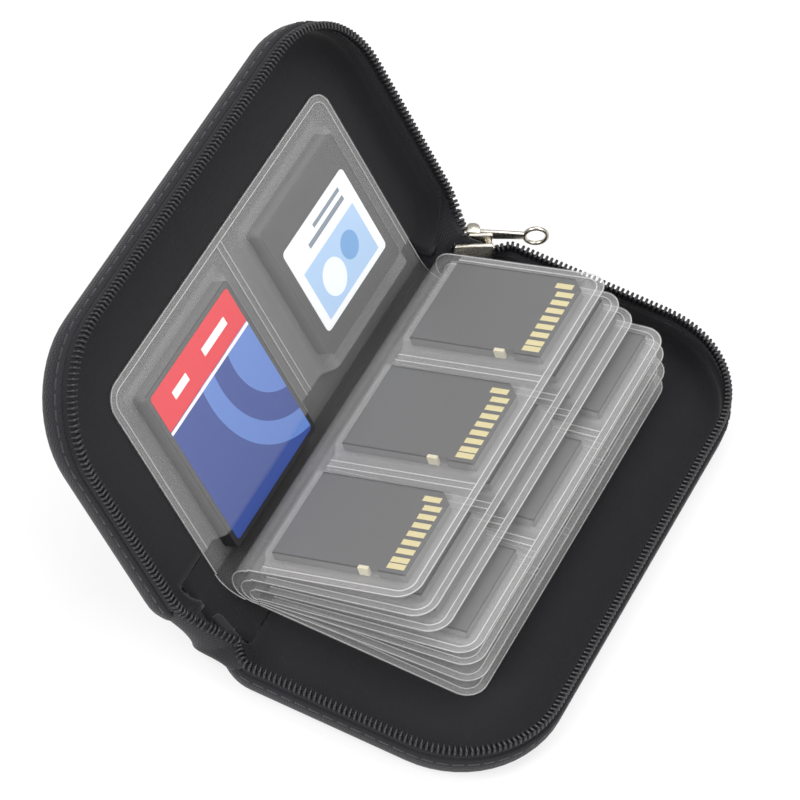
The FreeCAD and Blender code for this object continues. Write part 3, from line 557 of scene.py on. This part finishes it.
def gathered_corner(name, end, lines, pinch, padding):
    """One corner's cloth and coil. The base's half and the lid's half each start on a line from the spine to
    the zip, given by its start, its bend and its end. Pinch parts the two halves, which join at the zip."""
    zip_end, zip_way = rim_walk(coil_inset, loop_level, coil_pitch)[-1]

    def at(share, across):
        """A spot on the cloth: share runs from the spine to the zip, across from base (-1) to lid (1). The
        lowest share is tucked inside the spine, and the cloth meets each cover on the skin of its corner."""
        upper = across > 0
        place = on_lid if upper else on_base
        mirror = Matrix.Diagonal((1, end * (-1 if upper else 1), 1))
        near_zip = ease((share - zip_share) / (1 - zip_share))
        skin = corner_skin(skin_from + skin_turn * share, wall_top * (skin_foot + skin_climb * share))
        edge = place @ (mirror @ skin.lerp(zip_end, near_zip))
        along_rim = place.to_3x3() @ (mirror @ -zip_way)
        stretch = upward * (0 if across == 0 else math.copysign(1, across))
        line = lines[upper]
        on_line = line[0].lerp(line[1], share).lerp(line[1].lerp(line[2], share), share)
        apart = pinch * ease((share - tucked_share) / tucked_share)
        apart *= 1 - join * ease((share - join_from) / (1 - join_from))
        root = on_line + stretch * apart
        arrive = ((edge - root) * skin_pull).lerp(along_rim * (edge - root).length, near_zip)
        spot = bend(root, edge, stretch * root_pull, arrive, abs(across))
        turn = Matrix.Rotation(closing * (0.5 + 0.5 * min(max(across / arc_share, -1), 1)), 3, "Y")
        tucked = fold + turn @ (arc_start - fold) * tucked_radius
        tucked += Vector((0, end * (mouth_half - tucked_length), 0))
        tucked += (lid_way if upper else base_way) * max(abs(across) - arc_share, 0) * lap_length
        return tucked.lerp(spot, ease(share / tucked_share))

    sheet = bmesh.new()
    bmesh.ops.create_grid(sheet, x_segments=16, y_segments=24, size=0.5)
    for v in sheet.verts:
        v.co = at(v.co.x + 0.5, 2 * v.co.y)
    sheet.normal_update()
    if sum(face.normal.y * end for face in sheet.faces) < 0:
        bmesh.ops.reverse_faces(sheet, faces=sheet.faces)
    loops = bmesh.new()
    for side in (-1, 1):
        shares = [side * max(step, off_middle) / walk_steps for step in range(walk_steps + 1)]
        walk = [at(1.0, across) for across in shares]
        left = first_loop * (coil_pitch + (pinch if side < 0 else 0.0))
        for across, here, there in zip(shares, walk, walk[1:]):
            left -= (there - here).length
            if left > 0:
                continue
            left += coil_pitch
            way = (there - here).normalized()
            top = (here - at(below_edge, across)).normalized()
            beside = top.cross(way).normalized()
            turn = Matrix((way, beside, way.cross(beside))).transposed().to_4x4()
            bmesh.ops.create_cube(
                loops, size=1, matrix=Matrix.Translation(here) @ turn @ Matrix.Diagonal((*loop_size, 1)))
    bmesh.ops.bevel(loops, geom=loops.edges, offset=loop_round, segments=1, profile=0.5,
                    affect="EDGES", material=-1)
    corner_pieces = (
        (thicken(piece(name + "_cloth", sheet, nylon), padding, cloth_outside / padding - 1), "cover_fabric"),
        (piece(name + "_loops", loops, coil_nylon), "coil_black"),
    )
    for thing, slot in corner_pieces:
        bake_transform(thing)
        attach(thing, "base")


spine_back = fold + Matrix.Rotation(closing / 2, 3, "Y") @ (arc_start - fold) * tucked_radius
spine_end = Vector((0, mouth_half, 0))
slider_back = middle - along * 4.8 * mm
slider_mouth = middle + along * 4.0 * mm
slider_top = middle - along * 2.0 * mm + upward * 2.3 * mm
slider_lines = [(spine_back + spine_end, slider_back, spot) for spot in (slider_mouth, slider_top)]
gathered_corner("slider_corner", 1, slider_lines, pinch=2.5 * mm, padding=0.6 * mm)
tab_bend = Vector((fold.x - 5.5 * mm, -67 * mm, 4.5 * mm))
tab_top = Vector((slider_mouth.x, -slider_mouth.y, fold.z))
tab_line = (spine_back - spine_end, tab_bend, tab_top)
gathered_corner("tab_corner", -1, (tab_line, tab_line), pinch=0.0, padding=1.5 * mm)

# The booklet: clear vinyl sheets, each folded into two leaves. A leaf is two films of frosted vinyl welded
# round its rim and between its pockets, so the front film rises softly over each card and lies flat at the
# welds.
film = 0.2 * mm
leaf_corner = 5 * mm
booklet_low, booklet_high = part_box("leaf_8_back_film")
booklet_middle = (booklet_low.y + booklet_high.y) / 2
half_leaf = (booklet_high.y - booklet_low.y) / 2
pocket_rows = {1: 2, 8: 2}
weld_width = 1.7 * mm
bead_radius = 0.15 * mm
bead_inset = 0.2 * mm
rim_bead_level = 1.3 * film
weld_bead_level = 2.1 * film
slope = math.tan(math.radians(32))
fall_from = 0.3 * mm
over_card = 0.03 * mm
empty_pocket = 0.12 * mm
steep = 0.96


def inside(node, place):
    """Lowest and highest corner of a CAD node in the frame of a leaf."""
    spots = [place.inverted() @ v.co for v in frame["nodes"][node].data.vertices]
    return [Vector([pick(s[i] for s in spots) for i in range(3)]) for pick in (min, max)]


# Soft vinyl with a frosted face: clear, with a white veil and a broad soft glare that ripples every 9 mm or
# so. It looks denser where it is welded. The denser veil on a card's sloping sides is painted glare: light on
# the slopes painted into the film. The beads along each cut edge and weld are real ridges of film, and their
# dense white veil is a painted highlight of the light that they catch. The thinner veil on the outer fold is
# painted shade under the leaves.
def vinyl(name, alpha, rough):
    """A clear vinyl with a given share of veil."""
    material, shader = surface(name, Base_Color=colour("#e1e0e0"), Roughness=rough, IOR=1.53, Alpha=alpha)
    place = add(material, "TexCoord").outputs["Object"]
    ripple = add(material, "TexNoise", {"Vector": place, "Scale": 1 / (9 * mm)})
    bump = add(material, "Bump", {"Height": ripple.outputs["Fac"], "Strength": 0.3, "Distance": 0.6 * mm})
    material.node_tree.links.new(bump.outputs["Normal"], shader.inputs["Normal"])
    return material


clear_vinyl = vinyl("frosted_vinyl", alpha=0.085, rough=0.35)
# Vinyl for the outer sheet's fold: its thinner veil is painted shade under the leaves.
fold_shade_vinyl = vinyl("painted_shade_vinyl", alpha=0.035, rough=0.25)
welded_vinyl = vinyl("welded_vinyl", alpha=0.1, rough=0.3)
# Vinyl for the sloping sides over the cards: its denser white veil is painted glare, light on the slopes.
painted_slope_glare_vinyl = vinyl("painted_slope_glare_vinyl", alpha=0.11, rough=0.3)
# The beads along cut edges and welds are real ridges of film, and their dense white veil is a painted
# highlight.
edge_bead_highlight_vinyl = vinyl("edge_bead_highlight_vinyl", alpha=0.4, rough=0.25)


def film_sheet(start, end, cuts):
    """A flat sheet of film whose two square corners at the free edge are drawn in to quarter discs."""
    bm = bmesh.new()
    bmesh.ops.create_grid(bm, x_segments=cuts[0], y_segments=cuts[1], size=0.5)
    bmesh.ops.scale(bm, vec=(end - start, 2 * half_leaf, 1), verts=bm.verts)
    bmesh.ops.translate(bm, vec=((start + end) / 2, 0, 0), verts=bm.verts)
    for v in bm.verts:
        out = (v.co.x - end) / leaf_corner + 1
        aside = (abs(v.co.y) - half_leaf) / leaf_corner + 1
        if out > 0 and aside > 0:
            v.co.x += (math.sqrt(1 - aside * aside / 2) - 1) * out * leaf_corner
            v.co.y *= 1 + (math.sqrt(1 - out * out / 2) - 1) * aside * leaf_corner / abs(v.co.y)
    return bm


def wire_lines(name, lines, radius, material, place):
    """Round beads along lines of points, made one mesh."""
    curve = bpy.data.curves.new(name, "CURVE")
    curve.dimensions = "3D"
    curve.bevel_depth = radius
    curve.bevel_resolution = 1
    curve.use_fill_caps = True
    for line in lines:
        spline = curve.splines.new("POLY")
        spline.points.add(len(line) - 1)
        for point, spot in zip(spline.points, line):
            point.co = (*spot, 1)
    rough = bpy.data.objects.new(name + "_line", curve)
    mesh = bpy.data.meshes.new_from_object(rough)
    bpy.data.objects.remove(rough)
    bm = bmesh.new()
    bm.from_mesh(mesh)
    bpy.data.meshes.remove(mesh)
    return piece(name, bm, material, place)


def rim_line(start, end, inset, height):
    """The outline of a leaf from its fold round the free edge and back."""
    reach = leaf_corner - inset
    side = half_leaf - inset
    far = end - inset
    line = [Vector((start, -side, height))]
    for y_sign, first in ((-1, -90), (1, 0)):
        centre = Vector((far - reach, y_sign * (side - reach), height))
        for step in range(9):
            angle = math.radians(first + 90 * step / 8)
            line.append(centre + reach * Vector((math.cos(angle), math.sin(angle), 0)))
    line.append(Vector((start, side, height)))
    return line


def leaf(number, place, cards):
    """Both films of a leaf and its weld lines; cards are boxes in the leaf's frame."""
    name = "leaf_%d" % number
    back_low, back_high = inside(name + "_back_film", place)
    front_low, front_high = inside(name + "_front_film", place)
    flat = film_sheet(back_low.x, back_high.x, cuts=(24, 48))
    back = thicken(piece(name + "_back_vinyl", flat, clear_vinyl, place), film, 1.0)
    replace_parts(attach(back, name), name + "_back_film")
    sheet = film_sheet(front_low.x, front_high.x, cuts=(48, 120))
    rows = pocket_rows.get(number, 3)
    dividers = [half_leaf * (2 * row / rows - 1) for row in range(1, rows)]
    for v in sheet.verts:
        rise = 0.0
        for low, high in cards:
            fall = fall_from + slope * high.z
            across = ease((high.x + fall - v.co.x) / fall)
            beside = ease((high.y + fall - v.co.y) / fall) * ease((v.co.y - low.y + fall) / fall)
            rise = max(rise, (high.z - film + over_card) * across * beside)
        v.co.z = film + max(rise, empty_pocket)
    sheet.normal_update()
    for face in sheet.faces:
        spot = face.calc_center_median()
        # Faces that slope over a card's side get the third material, whose denser veil is painted glare.
        if face.normal.z < steep:
            face.material_index = 2
        from_rim = min(front_high.x - spot.x, half_leaf - abs(spot.y))
        if from_rim < weld_width or min(abs(spot.y - y) for y in dividers) < weld_width / 2:
            face.material_index = 1
    front = thicken(piece(name + "_front_vinyl", sheet, clear_vinyl, place), film, 1.0)
    front.data.materials.append(welded_vinyl)
    front.data.materials.append(painted_slope_glare_vinyl)
    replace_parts(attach(front, name), name + "_front_film")
    lines = [
        rim_line(back_low.x, back_high.x, bead_inset, rim_bead_level),
        rim_line(front_low.x, back_high.x, weld_width, weld_bead_level),
    ]
    for y in dividers:
        for shift in (-weld_width / 2, weld_width / 2):
            ends = (front_low.x, back_high.x - weld_width)
            lines.append([Vector((x, y + shift, weld_bead_level)) for x in ends])
    # The rim and weld lines are real beads of film, drawn in the dense white veil as a painted highlight.
    welds = wire_lines(name + "_welds", lines, bead_radius, edge_bead_highlight_vinyl, place)
    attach(welds, name)


leaf_places = {1: on_lid @ Matrix.Translation((0, -booklet_middle, booklet_low.z))}
for number in range(2, 9):
    fan = joints["leaf_%d_fan" % number]
    fan_angle = -math.radians(fan["range_deg"][0])
    at = Vector(fan["pos_m"]) + Vector((0, booklet_middle, 0))
    leaf_places[number] = Matrix.Translation(at) @ Matrix.Rotation(-fan_angle, 4, "Y")
small_cards = [inside("top_card_%d" % card, leaf_places[2]) for card in (1, 2, 3)]
for number in range(1, 9):
    place = leaf_places[number]
    cards = []
    if number == 1:
        cards = [inside(card, place) for card in ("wide_card", "square_card")]
    elif number == 2:
        cards = small_cards
    elif number < 6:
        low, high = inside("leaf_%d_cards" % number, place)
        cards = [(Vector((low.x, a.y, low.z)), Vector((high.x, b.y, high.z))) for a, b in small_cards]
    leaf(number, place, cards)


# The folds: each sheet goes round its own fold in one piece. The cut edges at both ends are beads painted
# bright, a painted highlight. The outer sheet lies round the inside of the spine, where its veil is painted
# thinner as painted shade under the leaves, and the others lie inside one another.
def fold_film(name, lower, centre, sweep, material):
    """Film spun round a fold from its lower edge to its upper one."""
    bm = bmesh.new()
    ends = [bm.verts.new((lower.x, booklet_middle + y, lower.z)) for y in (-half_leaf, half_leaf)]
    line = bm.edges.new(ends)
    bmesh.ops.subdivide_edges(bm, edges=[line], cuts=30)
    bmesh.ops.spin(bm, geom=list(bm.edges), cent=centre, axis=(0, 1, 0), angle=sweep, steps=16)
    bmesh.ops.recalc_face_normals(bm, faces=bm.faces)
    return thicken(piece(name, bm, material), film, 0.0)


def fold_edges(name, lower, centre, sweep):
    """The cut edges of the film at both ends of a fold, as beads whose bright white veil is a painted
    highlight.
    """
    turns = [Matrix.Rotation(sweep * step / 12, 3, "Y") for step in range(13)]
    lines = []
    for y in (-half_leaf, half_leaf):
        shift = Vector((0, booklet_middle + y, 0))
        lines.append([centre + turn @ (lower - centre) + shift for turn in turns])
    return wire_lines(name, lines, bead_radius, edge_bead_highlight_vinyl, Matrix())


half_film = Vector((0, 0, film / 2))
outer_lower = Vector((fold.x, 0, booklet_low.z)) + half_film
outer_upper = fold + Matrix.Rotation(closing, 3, "Y") @ (outer_lower - fold)
folds = [("outer_sheet", outer_lower, outer_upper, fold, closing, "lid")]
for sheet in (2, 3, 4):
    lower = Vector(joints["leaf_%d_fan" % (9 - sheet)]["pos_m"]) + half_film
    upper = Vector(joints["leaf_%d_fan" % sheet]["pos_m"]) + half_film
    folds.append(("sheet_%d" % sheet, lower, upper, (lower + upper) / 2, math.pi, "leaf_%d" % sheet))
for name, lower, upper, centre, sweep, body in folds:
    # The outer sheet's fold takes the thinner veil, as painted shade under the leaves.
    bent = fold_film(name + "_vinyl", lower, centre, sweep, fold_shade_vinyl if body == "lid" else clear_vinyl)
    for thing in (bent, fold_edges(name + "_edges", lower, centre, sweep)):
        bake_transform(thing)
        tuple(lower)
        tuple(upper)
        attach(thing, "base")
    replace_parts(bent, name + "_fold")


# The binding: a row of pale grey stitches through the folds of the sheets, which holds the booklet together.
# Their solids have the right shape and only get the look of thread.
def paint(node, material):
    """Gives a CAD node's object a new material."""
    mesh = frame["nodes"][node].data
    mesh.materials.clear()
    mesh.materials.append(material)


paint("binding_stitches", spun_thread("binding_thread", "#8d8f92", sheen=0.0, strength=0.5))


# The cards: moulded dark grey ABS with a fine spark-eroded grain, matt to the eye. The small ones show
# gold-plated contacts, rubbed in patches, and a pale sliding lock tab. Their solids stay, and only get their
# finish.
def moulded(name, code, rough):
    """A moulded plastic whose grain is drawn at 0.5 mm, coarser than the real one, so that it shows."""
    material, shader = surface(name, Base_Color=colour(code), Roughness=rough, IOR=1.53)
    place = add(material, "TexCoord").outputs["Object"]
    grain = add(material, "TexNoise", {"Vector": place, "Scale": 1 / (0.5 * mm), "Detail": 2.0})
    bump = add(material, "Bump", {"Height": grain.outputs["Fac"], "Strength": 0.25, "Distance": 0.05 * mm})
    material.node_tree.links.new(bump.outputs["Normal"], shader.inputs["Normal"])
    return material


card_plastic = moulded("grained_abs", "#252527", rough=0.5)
tab_plastic = moulded("pale_abs", "#c9c2a4", rough=0.45)
gold, gold_shader = surface("gold_plate", Base_Color=colour("#dccf95"), Metallic=0.35)
gold_place = add(gold, "TexCoord").outputs["Object"]
rub = add(gold, "TexNoise", {"Vector": gold_place, "Scale": 1 / (0.8 * mm)})
rubbed = add(gold, "MapRange", {"Value": rub.outputs["Fac"], "To Min": 0.3, "To Max": 0.5})
gold.node_tree.links.new(rubbed.outputs["Result"], gold_shader.inputs["Roughness"])
for node in ("leaf_3_cards", "leaf_4_cards", "leaf_5_cards", "wide_card", "square_card"):
    paint(node, card_plastic)
for card in (1, 2, 3):
    paint("top_card_%d" % card, card_plastic)
    paint("top_card_%d_contacts" % card, gold)
    paint("top_card_%d_lock_tab" % card, tab_plastic)


# The labels: smooth printed paper stuck on the two larger cards, with plain shapes in flat inks. Each pattern
# is drawn in millimetres in the label's own plane, from the middle of the label.
def printed(name, node, ground, shapes):
    """A printed label; a shape is a colour and a function that draws its mask from both axes of the label."""
    material, shader = surface(name, Roughness=0.55, IOR=1.45)
    low, high = inside(node, leaf_places[1])
    place = add(material, "Mapping", {
        "Vector": add(material, "TexCoord").outputs["Object"],
        "Location": leaf_places[1] @ ((low + high) / 2),
        "Rotation": leaf_places[1].to_euler(),
        "Scale": (mm, mm, mm),
    }, vector_type="TEXTURE")
    axes = add(material, "SeparateXYZ", {"Vector": place.outputs["Vector"]}).outputs
    tone = colour(ground)
    for code, mask in shapes:
        ink = {"Factor": mask(material, axes["X"], axes["Y"]), "A": tone, "B": colour(code)}
        tone = add(material, "Mix", ink, data_type="RGBA").outputs["Result"]
    material.node_tree.links.new(tone, shader.inputs["Base Color"])
    paint(node, material)


def within(middle, half):
    """A mask that is 1 inside an upright rectangle with this middle and these half sizes."""
    def mask(material, *axes):
        sides = []
        for axis, at, reach in zip(axes, middle, half):
            far = add(material, "Math", {0: axis, 1: at}, operation="SUBTRACT").outputs[0]
            off = add(material, "Math", {0: far}, operation="ABSOLUTE").outputs[0]
            sides.append(add(material, "Math", {0: off, 1: reach}, operation="LESS_THAN").outputs[0])
        return add(material, "Math", {0: sides[0], 1: sides[1]}, operation="MULTIPLY").outputs[0]
    return mask


def disc(middle, radius):
    """A mask that is 1 inside a circle."""
    def mask(material, across, lengthways):
        spot = add(material, "CombineXYZ", {"X": across, "Y": lengthways}).outputs["Vector"]
        far = add(material, "VectorMath", {0: spot, 1: (*middle, 0)}, operation="DISTANCE").outputs["Value"]
        return add(material, "Math", {0: far, 1: radius}, operation="LESS_THAN").outputs[0]
    return mask


printed("blue_label", "wide_card_label", "#33498f", [
    ("#5f80c4", disc((6, -22), 26)),
    ("#33498f", disc((6, -22), 21)),
    ("#5f80c4", disc((6, -22), 15)),
    ("#d8353f", within((15.5, 0), (4.7, 30))),
    ("#f2f2f2", within((10.2, 0), (0.4, 30))),
    ("#f2f2f2", within((15.5, -7), (1.0, 5))),
    ("#f2f2f2", within((15.5, 8), (1.0, 3))),
])
printed("white_label", "square_card_label", "#eceef0", [
    ("#a9c6e6", within((-3.2, 0), (6.5, 11.5))),
    ("#e8f0f8", disc((-4, 4), 4.2)),
    ("#6fa0d2", disc((-2.5, -4.5), 3.2)),
    ("#7d8894", within((6.3, -2), (0.6, 8))),
    ("#7d8894", within((8.6, -4), (0.5, 6))),
])

# The floor: a plain white sheet just under the base. It glows to the camera and in reflections, so that the
# background is white, and keeps the object's shadow. A large soft lamp stands on each side and one above.
floor_size = 3.0
floor_drop = 0.05 * mm
floor_glow = 0.72
sky_strength = 0.45
floor_white, floor_shader = surface("white_floor", Base_Color=colour("#f4f4f4"), Roughness=0.8)
rays = add(floor_white, "LightPath").outputs
seen = rays["Is Camera Ray"]
for kind in ("Is Glossy Ray", "Is Transmission Ray"):
    seen = add(floor_white, "Math", {0: seen, 1: rays[kind]}, operation="MAXIMUM").outputs[0]
share = add(floor_white, "Math", {0: seen, 1: floor_glow}, operation="MULTIPLY").outputs[0]
glow = add(floor_white, "Emission", {"Color": colour("#ffffff"), "Strength": 1.0})
both = add(floor_white, "MixShader", {0: share, 1: floor_shader.outputs[0], 2: glow.outputs[0]})
floor_output = floor_white.node_tree.nodes["Material Output"]
floor_white.node_tree.links.new(both.outputs[0], floor_output.inputs["Surface"])
floor = bmesh.new()
bmesh.ops.create_grid(floor, x_segments=1, y_segments=1, size=floor_size)
piece("floor", floor, floor_white, Matrix.Translation((0, 0, -floor_drop)))
world = bpy.data.worlds.new("studio")
world.use_nodes = True
sky = world.node_tree.nodes["Background"].inputs
sky["Color"].default_value = colour("#ffffff")
sky["Strength"].default_value = sky_strength
bpy.context.scene.world = world
for name, spot, size, power in (
    ("key", (-0.35, -0.55, 0.75), 0.5, 7.0),
    ("fill", (0.7, -0.2, 0.6), 0.6, 4.0),
    ("top", (0.05, 0.35, 0.9), 0.7, 6.0),
):
    lamp = bpy.data.lights.new(name, "AREA")
    lamp.size = size
    lamp.energy = power
    holder = bpy.data.objects.new(name, lamp)
    bpy.context.scene.collection.objects.link(holder)
    turn = (-Vector(spot)).to_track_quat("-Z", "Y").to_matrix().to_4x4()
    holder.matrix_world = Matrix.Translation(spot) @ turn
bpy.context.scene.view_settings.view_transform = "Standard"

# The camera stands above the end of the spine with the tab, a little towards the free edge of the base, as in
# the photograph, and leans. Its distance gives the photograph's scale at the fold line, and the move its
# framing.
azimuth, elevation, roll = (math.radians(angle) for angle in (20.0, 52.05, -7.69))
picture = 800
focal_pixels = 5086
pixels_per_mm = 4.67
move_right = 13.0 * mm
move_up = 12.43 * mm
distance = focal_pixels / pixels_per_mm * mm
level_way = Vector((-math.sin(azimuth), math.cos(azimuth), 0))
forward = level_way * math.cos(elevation) - upward * math.sin(elevation)
level_right = forward.cross(upward).normalized()
level_down = forward.cross(level_right)
right = level_right * math.cos(roll) + level_down * math.sin(roll)
down = level_down * math.cos(roll) - level_right * math.sin(roll)
eye = arc_start - forward * distance + right * move_right - down * move_up
camera = bpy.data.objects.new("camera", bpy.data.cameras.new("camera"))
bpy.context.scene.collection.objects.link(camera)
camera.data.sensor_width = 36
camera.data.lens = focal_pixels / picture * camera.data.sensor_width
camera.matrix_world = Matrix.Translation(eye) @ Matrix((right, -down, -forward)).transposed().to_4x4()
bpy.context.scene.camera = camera
